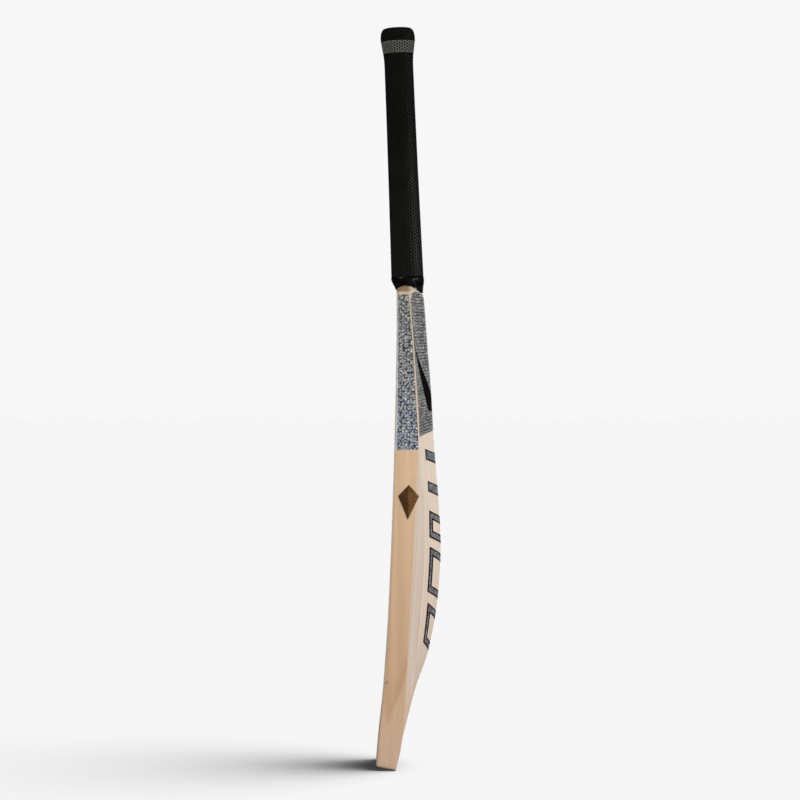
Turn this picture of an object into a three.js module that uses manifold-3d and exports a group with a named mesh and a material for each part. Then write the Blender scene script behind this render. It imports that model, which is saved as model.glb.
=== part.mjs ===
// Cricket bat, adult short-handle size, standing on its toe.
// Units are millimetres. +Z is up the bat, the hitting face looks along -X, the spine of the back along +X,
// and the two edges along -Y and +Y. The origin is the bottom centre of the bounding box.
//
// The willow blade holds a V-shaped splice. The cane handle fills it: four layers of three cane strips with
// three rubber springs between the layers. Twine binds the handle above the shoulders, and a moulded rubber
// grip with a honeycomb band and a taped hem covers the twine. Thin decals lie on the blade.

import * as THREE from "three";
import { mergeVertices } from "three/addons/utils/BufferGeometryUtils.js";
import Module from "manifold-3d";

const wasm = await Module();
wasm.setup();

// ---------------------------------------------------------------- driving dimensions

const BLADE_WIDTH = 108; // edge to edge
const BLADE_TOP = 559.2; // where the willow ends beside the handle
const HANDLE_BASE = 553; // height at which the handle's own length is counted from
const HANDLE_LENGTH = 308.6; // from HANDLE_BASE to the crest of the grip
const HANDLE_LEAN = THREE.MathUtils.degToRad(-2.33); // towards the face
const HANDLE_SETBACK = 13.4; // from the face to the handle's axis at HANDLE_BASE
const FACE_CROWN = 1.3; // the face is this much proud in the middle
const FACE_CORNER_RADIUS = 3.5;
const TOE_CORNER_RADIUS = 4;
const TOE_SLOPE = 0.21; // the toe's flat end rises towards the face
const TOE_SLOPE_FADES = 100; // height by which the sections lie level
const SHOULDER_RADIUS = 8;
const SHOULDER_TURN = THREE.MathUtils.degToRad(76); // of the round part, below the slope to the handle
const SHOULDER_DROP = 6.5; // from BLADE_TOP down to where that slope starts
const SHOULDER_SLOPE = [
  [4.6, 38.5], [3.4, 33], [2.3, 28], [1.3, 23.5], [0.6, 21], [0, 18.6],
]; // [below BLADE_TOP, half width]
const SPINE_RADIUS = 9; // softens the ridge of the back
const FLANK_HOLLOW = 1.22; // exponent above 1 makes the flanks concave
const BEVEL_SLANT = 0.72; // how far the bevel runs in from the edge for each millimetre it runs back
const BEVEL_LEAST = 0.6; // and never less than this
const FLANK_INSET = 0.9; // the flank always ends this far inside the edge
const GAP = 0.3; // glue line or clearance between separate pieces
const DECAL_THICKNESS = 0.35;
const CHEVRON_RIM = 9; // width of the bars round a hollow chevron's opening
const FIRST_STATION = 24; // heights of the blade's level sections between the toe and the shoulders
const LAST_STATION = 536;
const STATION_STEP = 19.5;
const CLEAR_OF_BLADE = 80; // a plane this far from the origin passes the blade by

// Where the middle of the face stands along X, as [height, place]: the toe is bowed forward.
const FACE_PLACES = [
  [0, -24.2], [36, -21.2], [82, -16.6], [128, -13.1], [174, -10.1], [220, -7.9], [312, -4.4],
  [404, -1.9], [496, -0.1], [548, 0], [560, 0],
];

// Thicknesses measured from the middle of the face, as [height, thickness].
const SPINE_HEIGHTS = [
  [0, 23.5], [45, 30.5], [90, 38], [130, 48.7], [185, 56], [250, 58], [310, 53.3],
  [375, 46.2], [440, 41], [490, 36], [545, 31.6], [553, 29.4], [560, 28],
];
const EDGE_HEIGHTS = [
  [0, 23], [24, 27], [62, 28], [90, 27], [139, 25.6], [197, 25.5], [254, 26.6], [312, 27],
  [370, 28], [392, 27], [427, 24.1], [484, 19.5], [519, 16.8], [553, 14], [560, 13.4],
];
const BEVEL_HEIGHTS = [
  [0, 23.3], [50, 29.3], [75, 31.3], [105, 34], [139, 37], [200, 39], [243, 39.9], [297, 38],
  [331, 35.5], [351, 32], [370, 29.8], [404, 27.4], [450, 23.9], [496, 20.5], [542, 17], [560, 15.6],
];

// The top of the shoulders is domed: above DOME_BOTTOM the willow lies between these places behind the face,
// as [height, place].
const DOME_BOTTOM = 551;
const DOME_FRONT = [[554.5, -1], [555, 0], [556.2, 1.5], [557.4, 3.3], [558.6, 5.5], [559.2, 7.1]];
const DOME_BACK = [
  [DOME_BOTTOM, 30.5], [553, 25.8], [554.6, 22.7], [556.2, 20.5], [557.4, 18.7], [558.6, 16.5], [559.2, 14.9],
];

// Splice and handle.
const SPLICE_BOTTOM = 422;
const SPLICE_HALF_TOP = 15.2;
const SPLICE_HALF_BOTTOM = 2.8;
const SPLICE_OVERRUN = 12; // the V is drawn on past the willow's top
const LAYER_PITCH = 7.6; // between the rubber springs
const SPRING_THICKNESS = 1.6;
const SPRING_BOTTOM = -75; // along the handle, below HANDLE_BASE
const STRIP_HALF = 4.8; // half the width of a middle cane strip
const CANE_TOP = 304;
const CANE_RADII = [[-30, 13.2], [6, 13.9], [24, 15.3], [304, 13.1]]; // [along the handle, half thickness]
const CANE_SHIFTS = [[-30, 1.6], [6, 1.4], [24, 0], [304, 0]]; // the root sits nearer the back
const HANDLE_OVAL = 0.95; // width over thickness
const TWINE_BOTTOM = 26;
const TWINE_TOP = 303.4;
const TWINE_CLEARANCE = 0.25;
const TWINE_THICKNESS = 0.8;

// Grip.
const GRIP_BOTTOM = 18;
const GRIP_OUTSIDE = [
  [18, 18.9], [140, 17.6], [262, 16.9], [274, 17.3], [286, 18.9], [294, 20], [298, 20.1],
]; // [along the handle, radius]: a slight taper, then the flared knob
const GRIP_LIP_RADIUS = 10.4;
const KNOB_CREST = [
  [20.1, 10.6], [19.8, 7], [18.6, 3.4], [16.8, 1], [14.6, 0], [12, 0.4], [GRIP_LIP_RADIUS, 2],
]; // [radius, depth below the top]
const BAND_BOTTOM = 279;
const BAND_TOP = 292.5;
const BAND_THICKNESS = 1;
const HEM_THICKNESS = 1.3;
const HEM_TOP = GRIP_BOTTOM - GAP;
const HEM_TOP_RADIUS = 18.7;
const HEM_ARCH_TOP = 560.1; // the hem's lower end arches over the shoulders and dips at face and back
const HEM_ARCH = [[-12, 4.9], [-11, 4.8], [-5.5, 1.2], [0, 0], [5.5, 1.3], [11.5, 5.2], [20, 8.5]];
const HEM_ARCH_MIDDLE = 11; // distance of the arch's top from the face
const HEM_BOTTOM_RADIUS = 15.9;
const HEM_BOTTOM_SHIFT = 1.7;

// Decals. Outlines on the back are [distance from the spine, height].
const STICKER_HEIGHTS = [548, 500, 460, 420, 369.5];
const STICKER_FRONT = 2; // behind the face
const STICKER_REAR = 0.4; // before the bevel
const EDGE_DECAL_REACH = 7; // decals on an edge may run this far in round its corners
const PANEL_HALF = [
  [0, 392], [51.8, 384.5], [52.2, 430], [52.5, 480], [52.8, 520], [53, 541], [50, 549], [29, 552.5], [0, 550.5],
];
const STRIPE = [[50.5, 484], [50.5, 488], [4, 434], [4, 413], [17.7, 415]];
const KITE_BEHIND_FACE = 18;
const KITE_HALF_WIDTH = 12;
const KITE_HEIGHTS = [289, 316, 329]; // bottom, widest, top

const HALF = BLADE_WIDTH / 2;
const ROUND_STEPS = 32; // sides of the handle's round pieces

// ---------------------------------------------------------------- small helpers

// A smooth function through [at, value] points, level with the end values outside them.
function smoothThrough(points) {
  const slopes = points.map((point, i) => {
    const before = points[Math.max(i - 1, 0)];
    const after = points[Math.min(i + 1, points.length - 1)];
    return (after[1] - before[1]) / (after[0] - before[0]);
  });
  return (at) => {
    if (at <= points[0][0]) return points[0][1];
    const last = points.length - 1;
    if (at >= points[last][0]) return points[last][1];
    const i = points.findIndex((point) => point[0] > at) - 1;
    const span = points[i + 1][0] - points[i][0];
    const t = (at - points[i][0]) / span;
    const [t2, t3] = [t * t, t * t * t];
    return (
      (2 * t3 - 3 * t2 + 1) * points[i][1] +
      (t3 - 2 * t2 + t) * span * slopes[i] +
      (3 * t2 - 2 * t3) * points[i + 1][1] +
      (t3 - t2) * span * slopes[i + 1]
    );
  };
}

// A manifold solid from a closed three.js geometry.
function solidOf(geometry) {
  const bare = geometry.clone();
  bare.deleteAttribute("normal");
  bare.deleteAttribute("uv");
  const merged = mergeVertices(bare, 1e-4);
  return new wasm.Manifold(
    new wasm.Mesh({
      numProp: 3,
      vertProperties: merged.attributes.position.array,
      triVerts: new Uint32Array(merged.index.array),
    }),
  );
}

function geometryOf(solid) {
  const mesh = solid.getMesh();
  const geometry = new THREE.BufferGeometry();
  geometry.setAttribute("position", new THREE.BufferAttribute(mesh.vertProperties, 3));
  geometry.setIndex(new THREE.BufferAttribute(mesh.triVerts, 1));
  geometry.computeVertexNormals();
  return geometry;
}

// A geometry through rings of equally many points: closed round each ring, and capped or joined at its ends.
function loft(rings, joinEnds = false) {
  const count = rings[0].length;
  const positions = rings.flat().flatMap((point) => [point.x, point.y, point.z]);
  const index = [];
  const spans = joinEnds ? rings.length : rings.length - 1;
  for (let i = 0; i < spans; i++) {
    const [low, high] = [i * count, ((i + 1) % rings.length) * count];
    for (let j = 0; j < count; j++) {
      const next = (j + 1) % count;
      index.push(low + j, low + next, high + next, low + j, high + next, high + j);
    }
  }
  if (!joinEnds) {
    for (const [ring, flipped] of [[0, true], [rings.length - 1, false]]) {
      const flat = rings[ring].map((point) => new THREE.Vector2(point.x, point.y));
      for (const [a, b, c] of THREE.ShapeUtils.triangulateShape(flat, [])) {
        const order = flipped ? [a, c, b] : [a, b, c];
        index.push(...order.map((corner) => corner + ring * count));
      }
    }
  }
  const geometry = new THREE.BufferGeometry();
  geometry.setAttribute("position", new THREE.Float32BufferAttribute(positions, 3));
  geometry.setIndex(index);
  return geometry;
}

// The same geometry with every vertex moved out along its normal.
function swollen(geometry, distance) {
  const grown = geometry.clone();
  grown.computeVertexNormals();
  const position = grown.attributes.position;
  const normal = grown.attributes.normal;
  for (let i = 0; i < position.count; i++) {
    position.setXYZ(
      i,
      position.getX(i) + normal.getX(i) * distance,
      position.getY(i) + normal.getY(i) * distance,
      position.getZ(i) + normal.getZ(i) * distance,
    );
  }
  return grown;
}

// A prism whose outline is drawn as [y, z] and which runs along X between two places.
function prismAlongX(outline, from, to) {
  const shape = new THREE.Shape(outline.map(([y, z]) => new THREE.Vector2(y, z)));
  const geometry = new THREE.ExtrudeGeometry(shape, { depth: to - from, bevelEnabled: false });
  const axes = new THREE.Matrix4().makeBasis(
    new THREE.Vector3(0, 1, 0),
    new THREE.Vector3(0, 0, 1),
    new THREE.Vector3(1, 0, 0),
  );
  return geometry.applyMatrix4(axes).translate(from, 0, 0);
}

// A prism whose outline is drawn as [x, z] and which runs along Y between two places.
function prismAlongY(outline, from, to) {
  const shape = new THREE.Shape(outline.map(([x, z]) => new THREE.Vector2(x, -z)));
  const geometry = new THREE.ExtrudeGeometry(shape, { depth: to - from, bevelEnabled: false });
  return geometry.rotateX(-Math.PI / 2).translate(0, from, 0);
}

// ---------------------------------------------------------------- blade

const spineAt = smoothThrough(SPINE_HEIGHTS);
const edgeAt = smoothThrough(EDGE_HEIGHTS);
const bevelAt = smoothThrough(BEVEL_HEIGHTS);
const faceAt = smoothThrough(FACE_PLACES);
const domeFront = smoothThrough(DOME_FRONT);
const domeBack = smoothThrough(DOME_BACK);
const inDome = (x, height) =>
  height > DOME_BOTTOM ? THREE.MathUtils.clamp(x, domeFront(height), domeBack(height)) : x;
const flankEndAt = (height) => HALF - BEVEL_SLANT * (bevelAt(height) - edgeAt(height)) - BEVEL_LEAST;

// Thickness at a distance y from the middle: concave flank up to the bevel, then the bevel down to the edge.
function thicknessAt(y, height) {
  const [spine, bevel, edge] = [spineAt(height), bevelAt(height), edgeAt(height)];
  const flankEnd = flankEndAt(height);
  if (y > flankEnd) return bevel + ((edge - bevel) * (y - flankEnd)) / (HALF - flankEnd);
  const round = (value) => Math.hypot(value, SPINE_RADIUS) - SPINE_RADIUS;
  return bevel + (spine - bevel) * (1 - round(y) / round(flankEnd)) ** FLANK_HOLLOW;
}

// One level section, from the middle of the face round the +Y edge to the spine, as [x, y] from the face.
function halfSection(height, half) {
  const crown = (y) => FACE_CROWN * (y / HALF) ** 2;
  const cornerY = half - FACE_CORNER_RADIUS;
  const cornerX = crown(cornerY) + FACE_CORNER_RADIUS;
  const points = [0, 0.3, 0.6, 0.85].map((share) => [crown(share * cornerY), share * cornerY]);
  for (const turn of [0, 30, 60, 90].map(THREE.MathUtils.degToRad)) {
    points.push([
      cornerX - FACE_CORNER_RADIUS * Math.cos(turn),
      cornerY + FACE_CORNER_RADIUS * Math.sin(turn),
    ]);
  }
  const edge = thicknessAt(half, height);
  points.push([(cornerX + edge) / 2, half]);
  points.push([edge, half]);
  const flankEnd = Math.min(flankEndAt(height), half - FLANK_INSET);
  for (const share of [1, 0.86, 0.7, 0.54, 0.38, 0.24, 0.12, 0]) {
    points.push([thicknessAt(share * flankEnd, height), share * flankEnd]);
  }
  return points;
}

// The whole ring at a height, kept within the shoulders' dome, with the toe's slope fading upwards.
function bladeRing([height, half]) {
  const side = halfSection(height, half);
  const mirrored = side.slice(1, -1).reverse().map(([x, y]) => [x, -y]);
  const slope = TOE_SLOPE * (1 - THREE.MathUtils.smoothstep(height, 0, TOE_SLOPE_FADES));
  const spine = spineAt(height);
  return [...side, ...mirrored]
    .map(([x, y]) => [inDome(x, height), y])
    .map(([x, y]) => new THREE.Vector3(faceAt(height) + x, y, height + slope * (spine - x)))
    .reverse();
}

// Heights with half widths: round toe corners, straight edges, round shoulders that slope up to the handle.
function bladeStations() {
  const toe = [0, 22, 45, 68, 90].map(THREE.MathUtils.degToRad).map((turn) => [
    TOE_CORNER_RADIUS * (1 - Math.cos(turn)),
    HALF - TOE_CORNER_RADIUS * (1 - Math.sin(turn)),
  ]);
  const middle = [];
  for (let height = FIRST_STATION; height < LAST_STATION; height += STATION_STEP) middle.push([height, HALF]);
  const base = BLADE_TOP - SHOULDER_DROP - SHOULDER_RADIUS * Math.sin(SHOULDER_TURN);
  const shoulder = [0, 0.3, 0.6, 1].map((share) => share * SHOULDER_TURN).map((turn) => [
    base + SHOULDER_RADIUS * Math.sin(turn),
    HALF - SHOULDER_RADIUS * (1 - Math.cos(turn)),
  ]);
  const slope = SHOULDER_SLOPE.map(([drop, half]) => [BLADE_TOP - drop, half]);
  return [...toe, ...middle, ...shoulder, ...slope];
}

const bladeSkin = loft(bladeStations().map(bladeRing));
const bladeWhole = solidOf(bladeSkin);

// The V of the splice, from face to back.
function spliceWedge(inset) {
  const rise = (SPLICE_HALF_TOP - SPLICE_HALF_BOTTOM) / (BLADE_TOP - SPLICE_BOTTOM);
  const top = BLADE_TOP + SPLICE_OVERRUN;
  const halfTop = SPLICE_HALF_TOP + rise * SPLICE_OVERRUN - inset;
  const halfBottom = SPLICE_HALF_BOTTOM - inset;
  const bottom = SPLICE_BOTTOM + inset;
  const outline = [[-halfTop, top], [-halfBottom, bottom], [halfBottom, bottom], [halfTop, top]];
  return solidOf(prismAlongX(outline, -CLEAR_OF_BLADE, CLEAR_OF_BLADE));
}

const blade = bladeWhole.subtract(spliceWedge(0));

// ---------------------------------------------------------------- handle

// The handle's own frame: its axis is local Z and leans towards the face.
const handleFrame = new THREE.Matrix4()
  .makeRotationY(HANDLE_LEAN)
  .setPosition(HANDLE_SETBACK, 0, HANDLE_BASE);

const caneRadius = smoothThrough(CANE_RADII);
const caneShift = smoothThrough(CANE_SHIFTS);
const rubberInside = (along) =>
  caneRadius(Math.max(along, TWINE_BOTTOM)) + 2 * TWINE_CLEARANCE + TWINE_THICKNESS;

// One oval ring in the handle's frame. along may depend on the angle, which is 0 at the back.
function ovalRing(radius, along, shift = 0) {
  const ring = [];
  for (let i = 0; i < ROUND_STEPS; i++) {
    const turn = (2 * Math.PI * i) / ROUND_STEPS;
    const height = typeof along === "function" ? along(turn) : along;
    ring.push(
      new THREE.Vector3(shift + radius * Math.cos(turn), radius * HANDLE_OVAL * Math.sin(turn), height),
    );
  }
  return ring;
}

// A tube in the handle's frame from a closed [radius, along] profile.
function ovalTube(profile) {
  const rings = profile.map(([radius, along, shift]) => ovalRing(radius, along, shift));
  return loft(rings, true);
}

// The cane as one solid: the wedge that fills the splice and the oval stem above it.
function caneWhole() {
  const stations = [-14, 6, 14, 22, CANE_TOP];
  const rings = stations.map((along) => ovalRing(caneRadius(along), along, caneShift(along)));
  const stem = solidOf(loft(rings).applyMatrix4(handleFrame));
  return stem.add(bladeWhole.intersect(spliceWedge(GAP)));
}

// A block in the handle's frame, carried into the bat's frame.
function handleBlock(x, y, z) {
  const box = new THREE.BoxGeometry(x[1] - x[0], y[1] - y[0], z[1] - z[0]);
  box.translate((x[0] + x[1]) / 2, (y[0] + y[1]) / 2, (z[0] + z[1]) / 2);
  return solidOf(box.applyMatrix4(handleFrame));
}

const FAR = 40; // past the cane on every side
const BELOW = -200;
const ABOVE = 320;
const SPRING_PLACES = [-LAYER_PITCH, 0, LAYER_PITCH];
const LAYER_NAMES = ["front", "inner_front", "inner_back", "back"];
const COLUMNS = {
  left: [STRIP_HALF + GAP / 2, FAR],
  centre: [GAP / 2 - STRIP_HALF, STRIP_HALF - GAP / 2],
  right: [-FAR, -STRIP_HALF - GAP / 2],
};

// Twelve cane strips: each layer is narrower beside the springs and meets its neighbour below them.
function caneStrips() {
  const cane = caneWhole();
  const strips = {};
  LAYER_NAMES.forEach((layer, i) => {
    const [front, back] = [SPRING_PLACES[i - 1] ?? -FAR, SPRING_PLACES[i] ?? FAR];
    const beside = SPRING_THICKNESS / 2 + GAP;
    for (const [column, y] of Object.entries(COLUMNS)) {
      const upper = handleBlock([front + beside, back - beside], y, [SPRING_BOTTOM - STRIP_HALF, ABOVE]);
      const lower = handleBlock([front + GAP / 2, back - GAP / 2], y, [BELOW, SPRING_BOTTOM - GAP]);
      strips[`cane_strip_${layer}_${column}`] = cane.intersect(upper.add(lower));
    }
  });
  return strips;
}

// Three rubber springs between the cane layers, inset a little from the cane's surface.
function rubberSprings() {
  const cane = caneWhole();
  const springs = {};
  SPRING_PLACES.forEach((place, i) => {
    const x = [place - SPRING_THICKNESS / 2, place + SPRING_THICKNESS / 2];
    const sheet = handleBlock(x, [-FAR, FAR], [SPRING_BOTTOM, ABOVE]);
    springs[`rubber_spring_${i + 1}`] = cane.intersect(sheet);
  });
  return springs;
}

function twineBinding() {
  const inside = (along) => caneRadius(along) + TWINE_CLEARANCE;
  const outside = (along) => inside(along) + TWINE_THICKNESS;
  return ovalTube([
    [outside(TWINE_BOTTOM), TWINE_BOTTOM],
    [outside(TWINE_TOP), TWINE_TOP],
    [inside(TWINE_TOP), TWINE_TOP],
    [inside(TWINE_BOTTOM), TWINE_BOTTOM],
  ]);
}

// ---------------------------------------------------------------- grip

const gripOutside = smoothThrough(GRIP_OUTSIDE);
const BAND_MIDDLE = (BAND_BOTTOM + BAND_TOP) / 2;

// The tube's profile: outside with a groove for the band, rounded crest, inward lip, inside wall.
function grip() {
  const groove = BAND_THICKNESS + GAP;
  const outer = [GRIP_BOTTOM, 80, 150, 220, 262, 272, BAND_BOTTOM - GAP];
  const inGroove = [BAND_BOTTOM - GAP, BAND_MIDDLE, BAND_TOP + GAP];
  const crest = KNOB_CREST.map(([radius, below]) => [radius, HANDLE_LENGTH - below]);
  return ovalTube([
    ...outer.map((along) => [gripOutside(along), along]),
    ...inGroove.map((along) => [gripOutside(along) - groove, along]),
    [gripOutside(BAND_TOP + GAP), BAND_TOP + GAP],
    ...crest,
    [GRIP_LIP_RADIUS, CANE_TOP + GAP],
    [rubberInside(CANE_TOP), CANE_TOP + GAP],
    [rubberInside(TWINE_BOTTOM), TWINE_BOTTOM],
    [rubberInside(GRIP_BOTTOM), GRIP_BOTTOM],
  ]);
}

function gripBand() {
  const places = [BAND_BOTTOM, BAND_MIDDLE, BAND_TOP];
  const outer = places.map((along) => [gripOutside(along), along]);
  const inner = places.map((along) => [gripOutside(along) - BAND_THICKNESS, along]).reverse();
  return ovalTube([...outer, ...inner]);
}

// The hem: a taped skirt whose lower end rides up over the shoulders.
const hemArch = smoothThrough(HEM_ARCH);

function gripHem() {
  const bottom = (turn) => {
    const x = HEM_BOTTOM_SHIFT + HEM_BOTTOM_RADIUS * Math.cos(turn);
    const height = HEM_ARCH_TOP - hemArch(HANDLE_SETBACK + x - HEM_ARCH_MIDDLE);
    return height - HANDLE_BASE + x * Math.sin(HANDLE_LEAN);
  };
  const ringAt = (share, inset) => {
    const radius = THREE.MathUtils.lerp(HEM_TOP_RADIUS, HEM_BOTTOM_RADIUS, share) - inset;
    const along = (turn) => THREE.MathUtils.lerp(HEM_TOP, bottom(turn), share);
    return [radius, along, HEM_BOTTOM_SHIFT * share];
  };
  const shares = [0, 0.35, 0.7, 1];
  const outer = shares.map((share) => ringAt(share, 0)).reverse();
  const inner = shares.map((share) => ringAt(share, HEM_THICKNESS));
  const skirt = solidOf(ovalTube([...outer, ...inner]).applyMatrix4(handleFrame));
  return skirt.subtract(solidOf(swollen(bladeSkin, GAP)));
}

// ---------------------------------------------------------------- decals

// Decals are pieces of a thin shell that follows the blade a glue line away.
const decalShell = solidOf(swollen(bladeSkin, GAP + DECAL_THICKNESS)).subtract(
  solidOf(swollen(bladeSkin, GAP)),
);

// The part of the shell on one edge, +1 or -1, inside an outline drawn as [x, z].
function onEdge(outline, side) {
  const [inner, outer] = [HALF - EDGE_DECAL_REACH, CLEAR_OF_BLADE];
  const [from, to] = side > 0 ? [inner, outer] : [-outer, -inner];
  return decalShell.intersect(solidOf(prismAlongY(outline, from, to)));
}

// One edge sticker: from the shoulder down, between the face's corner and the bevel.
function edgeSticker(side) {
  const front = STICKER_HEIGHTS.map((height) => [faceAt(height) + STICKER_FRONT, height]);
  const rear = STICKER_HEIGHTS.map((height) => [faceAt(height) + edgeAt(height) - STICKER_REAR, height]);
  return onEdge([...front, ...rear.reverse()], side);
}

const BEHIND_FACE = 8; // everything on the back lies behind this plane
const throughBack = (outline) => solidOf(prismAlongX(outline, BEHIND_FACE, CLEAR_OF_BLADE));
const onBack = (outline) => decalShell.intersect(throughBack(outline));

// Closes a half outline that starts and ends on the middle line.
function mirroredLoop(half) {
  return [...half, ...half.slice(1, -1).reverse().map(([y, z]) => [-y, z])];
}

// A convex loop with every side moved out by a distance. Its points run anticlockwise.
function outset(outline, distance) {
  const normal = (i) => {
    const [a, b] = [outline.at(i % outline.length), outline.at((i + 1) % outline.length)];
    return new THREE.Vector2(b[1] - a[1], a[0] - b[0]).normalize();
  };
  return outline.map(([y, z], i) => {
    const [before, after] = [normal(i - 1), normal(i)];
    const reach = distance / (1 + before.dot(after));
    return [y + (before.x + after.x) * reach, z + (before.y + after.y) * reach];
  });
}

// A dark stripe on one flank, from near the edge down to a broad end near the spine.
function stripeOutline(side) {
  return side > 0 ? STRIPE : STRIPE.map(([y, z]) => [-y, z]).reverse();
}

// The panel across the upper back, cut as a wide V at its lower end, with a window for each stripe.
function backPanel() {
  const windows = [1, -1].map((side) => throughBack(outset(stripeOutline(side), GAP)));
  return windows.reduce((panel, window) => panel.subtract(window), onBack(mirroredLoop(PANEL_HALF)));
}

// A V-shaped bar across the spine. Its heights are those of its outer ends.
function chevronOutline(top, bottom, halfWidth, drop) {
  return mirroredLoop([
    [0, top - drop], [halfWidth, top], [halfWidth, bottom], [0, bottom - drop],
  ]);
}

const chevron = (...sizes) => onBack(chevronOutline(...sizes));

// A tall chevron with a smaller one cut out of it.
function hollowChevron(top, bottom, halfWidth, drop) {
  const sink = (drop * CHEVRON_RIM) / halfWidth;
  const opening = chevronOutline(
    top - CHEVRON_RIM - sink, bottom + CHEVRON_RIM - sink, halfWidth - CHEVRON_RIM, drop - sink,
  );
  return chevron(top, bottom, halfWidth, drop).subtract(throughBack(opening));
}

// The brown mark on an edge: a plain kite.
function edgeMark(side) {
  const [bottom, widest, top] = KITE_HEIGHTS;
  const middle = faceAt(widest) + KITE_BEHIND_FACE;
  const [front, rear] = [middle - KITE_HALF_WIDTH, middle + KITE_HALF_WIDTH];
  return onEdge([[middle, top], [front, widest], [middle, bottom], [rear, widest]], side);
}

// ---------------------------------------------------------------- assembly

const willow = new THREE.MeshStandardMaterial({ color: 0xe2c8a4, roughness: 0.55, metalness: 0 });
const cane = new THREE.MeshStandardMaterial({ color: 0xc9a66b, roughness: 0.6, metalness: 0 });
const rubber = new THREE.MeshStandardMaterial({ color: 0x17171a, roughness: 0.8, metalness: 0 });
const gripRubber = new THREE.MeshStandardMaterial({ color: 0x101010, roughness: 0.65, metalness: 0 });
const bandRubber = new THREE.MeshStandardMaterial({ color: 0x464540, roughness: 0.6, metalness: 0 });
const hemTape = new THREE.MeshStandardMaterial({ color: 0x060606, roughness: 0.2, metalness: 0 });
const twine = new THREE.MeshStandardMaterial({ color: 0xc8bfa6, roughness: 0.9, metalness: 0 });
const silverFoil = new THREE.MeshStandardMaterial({ color: 0x7c8087, roughness: 0.35, metalness: 0.3 });
const greyWeave = new THREE.MeshStandardMaterial({ color: 0x747372, roughness: 0.5, metalness: 0.1 });
const blackFoil = new THREE.MeshStandardMaterial({ color: 0x0f0e0e, roughness: 0.4, metalness: 0 });
const mottledFoil = new THREE.MeshStandardMaterial({ color: 0x86827f, roughness: 0.45, metalness: 0.1 });
const brownFoil = new THREE.MeshStandardMaterial({ color: 0x5b3a26, roughness: 0.4, metalness: 0.2 });

const bat = new THREE.Group();

function place(name, geometry, material) {
  const mesh = new THREE.Mesh(geometry, material);
  mesh.name = name;
  bat.add(mesh);
  return mesh;
}

function placeOnHandle(name, geometry, material) {
  place(name, geometry.applyMatrix4(handleFrame), material);
}

place("blade", geometryOf(blade), willow);
for (const [name, solid] of Object.entries(caneStrips())) place(name, geometryOf(solid), cane);
for (const [name, solid] of Object.entries(rubberSprings())) place(name, geometryOf(solid), rubber);
placeOnHandle("twine_binding", twineBinding(), twine);
placeOnHandle("grip", grip(), gripRubber);
placeOnHandle("grip_band", gripBand(), bandRubber);
place("grip_hem", geometryOf(gripHem()), hemTape);
place("back_panel", geometryOf(backPanel()), greyWeave);
place("back_chevron_upper", geometryOf(chevron(370, 358, 33, 6)), mottledFoil);
place("back_chevron_lower", geometryOf(chevron(333, 321, 33, 7)), mottledFoil);
place("back_hollow_chevron_upper", geometryOf(hollowChevron(299, 268, 32, 9)), mottledFoil);
place("back_hollow_chevron_middle", geometryOf(hollowChevron(257, 205, 31, 11)), mottledFoil);
place("back_hollow_chevron_lower", geometryOf(hollowChevron(192, 146, 28, 13)), mottledFoil);
for (const [name, side] of Object.entries({ left: 1, right: -1 })) {
  place(`back_stripe_${name}`, geometryOf(onBack(stripeOutline(side))), blackFoil);
  place(`edge_sticker_${name}`, geometryOf(edgeSticker(side)), silverFoil);
  place(`edge_mark_${name}`, geometryOf(edgeMark(side)), brownFoil);
}

// Brings the bounding box's middle over the origin.
const bounds = new THREE.Box3().setFromObject(bat);
bat.position.x = -(bounds.min.x + bounds.max.x) / 2;

export default bat;
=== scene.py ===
"""Looks for a full-size cricket bat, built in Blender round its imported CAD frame.

The willow blade, the grip, its band and hem, and every decal are rebuilt as fine meshes from the same
measurements as the CAD. The cane strips, rubber springs and twine keep their CAD meshes and get materials.
Lengths at the top are in millimetres, and the meshes are in metres: +Z is up the bat, the hitting face looks
along -X, the spine of the back along +X, and the camera stands off along -Y and sees the bat edge-on.
"""

import math
from math import cos, hypot, pi, radians, sin

import bpy
from mathutils import Matrix, Vector
from mathutils.geometry import delaunay_2d_cdt


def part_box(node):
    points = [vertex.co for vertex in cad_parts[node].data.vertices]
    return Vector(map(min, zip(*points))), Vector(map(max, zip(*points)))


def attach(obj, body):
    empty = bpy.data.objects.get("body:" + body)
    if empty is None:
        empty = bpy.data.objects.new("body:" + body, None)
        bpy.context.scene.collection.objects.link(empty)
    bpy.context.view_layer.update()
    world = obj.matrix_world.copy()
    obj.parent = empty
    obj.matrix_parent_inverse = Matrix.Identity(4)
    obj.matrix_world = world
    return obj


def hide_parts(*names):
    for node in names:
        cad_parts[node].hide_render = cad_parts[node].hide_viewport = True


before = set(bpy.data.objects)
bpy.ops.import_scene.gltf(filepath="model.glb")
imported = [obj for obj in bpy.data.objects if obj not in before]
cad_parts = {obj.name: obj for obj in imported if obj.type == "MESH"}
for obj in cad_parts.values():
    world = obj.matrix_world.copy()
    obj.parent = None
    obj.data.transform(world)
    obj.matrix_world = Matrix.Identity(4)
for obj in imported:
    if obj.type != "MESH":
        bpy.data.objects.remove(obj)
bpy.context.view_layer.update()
scene = bpy.context.scene
MM = 0.001

# ---- measurements shared with the CAD

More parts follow.
